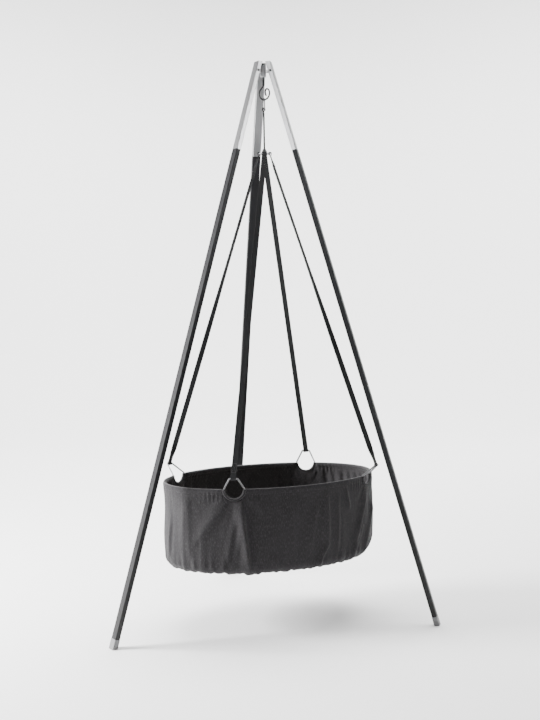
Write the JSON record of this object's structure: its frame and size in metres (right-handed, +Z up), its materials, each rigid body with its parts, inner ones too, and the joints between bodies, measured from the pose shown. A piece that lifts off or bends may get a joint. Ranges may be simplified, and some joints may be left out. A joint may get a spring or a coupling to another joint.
{
  "type": "bassinet on stand",
  "caption": "Oval fabric bassinet hung by webbing straps from a swivelling hook under a folding tripod stand.",
  "frame": {"origin": "middle of the bounding box at floor level", "axes": "+Z up from the floor, +X to the right and -Y towards the viewer of the front"},
  "size_m": [1.026, 0.9226, 1.815],
  "materials": {
    "bright_leg": "satin silver coated steel",
    "dark_leg": "satin black powder coat",
    "foot": "moulded silver-grey plastic",
    "bracket": "cast, mid grey",
    "inner_metal": "plain steel",
    "dark_steel": "blackened steel",
    "bright_steel": "bright plated steel wire and plate",
    "cord": "braided black cord",
    "cone": "black plastic",
    "webbing": "woven black webbing",
    "cloth": "dark charcoal woven cloth",
    "board": "thin plywood",
    "ticking": "off-white woven cover over foam"
  },
  "bodies": {
    "apex": {"apex_bracket": "bracket"},
    "left_leg": {"left_upper_leg": "bright_leg", "left_lower_leg": "dark_leg", "left_spigot": "inner_metal", "left_foot_cap": "foot", "left_hinge_pin": "dark_steel"},
    "right_leg": {"right_upper_leg": "bright_leg", "right_lower_leg": "dark_leg", "right_spigot": "inner_metal", "right_foot_cap": "foot", "right_hinge_pin": "dark_steel"},
    "rear_leg": {"rear_upper_leg": "bright_leg", "rear_lower_leg": "dark_leg", "rear_spigot": "inner_metal", "rear_foot_cap": "foot", "rear_hinge_pin": "dark_steel"},
    "hook": {"hanging_hook": "dark_steel", "swivel_washer": "inner_metal", "swivel_nut": "inner_metal"},
    "link": {"oval_link": "bright_steel"},
    "cradle": {"base_board": "board", "cradle_fabric": "cloth", "front_ring": "bright_steel", "front_ring_sleeve": "cloth", "front_side_rim_rod": "inner_metal", "front_strap": "webbing", "hub_cone": "cone", "hub_disc": "bright_steel", "left_end_rim_rod": "inner_metal", "left_ring": "bright_steel", "left_ring_sleeve": "cloth", "left_strap": "webbing", "mattress": "ticking", "rear_ring": "bright_steel", "rear_ring_sleeve": "cloth", "rear_side_rim_rod": "inner_metal", "rear_strap": "webbing", "right_end_rim_rod": "inner_metal", "right_ring": "bright_steel", "right_ring_sleeve": "cloth", "right_strap": "webbing", "suspension_cord": "cord"}
  },
  "joints": [
    {"name": "left_leg_fold", "type": "hinge", "parent": "apex", "child": "left_leg", "pos_m": [-0.04526, -0.13048, 1.784], "axis": [0.5707, -0.8211, 0], "range_deg": [0, 0.8]},
    {"name": "right_leg_fold", "type": "hinge", "parent": "apex", "child": "right_leg", "pos_m": [0.00428, -0.12174, 1.784], "axis": [0.2656, 0.9641, 0], "range_deg": [0, 0.2]},
    {"name": "rear_leg_fold", "type": "hinge", "parent": "apex", "child": "rear_leg", "pos_m": [-0.02928, -0.08721, 1.784], "axis": [-0.9677, -0.2521, 0], "range_deg": [0, 3]},
    {"name": "hook_swivel", "type": "hinge", "parent": "apex", "child": "hook", "pos_m": [-0.02219, -0.11445, 1.692], "axis": [0, 0, 1], "range_deg": [-3, 5]},
    {"name": "crosswise_sway", "type": "hinge", "parent": "hook", "child": "link", "pos_m": [-0.02219, -0.11445, 1.692], "axis": [0.9041, 0.4274, 0], "range_deg": [-1.2, 2]},
    {"name": "lengthwise_sway", "type": "hinge", "parent": "link", "child": "cradle", "pos_m": [-0.02219, -0.11445, 1.66085], "axis": [-0.4274, 0.9041, 0], "range_deg": [-0.5, 1.2]}
  ]
}
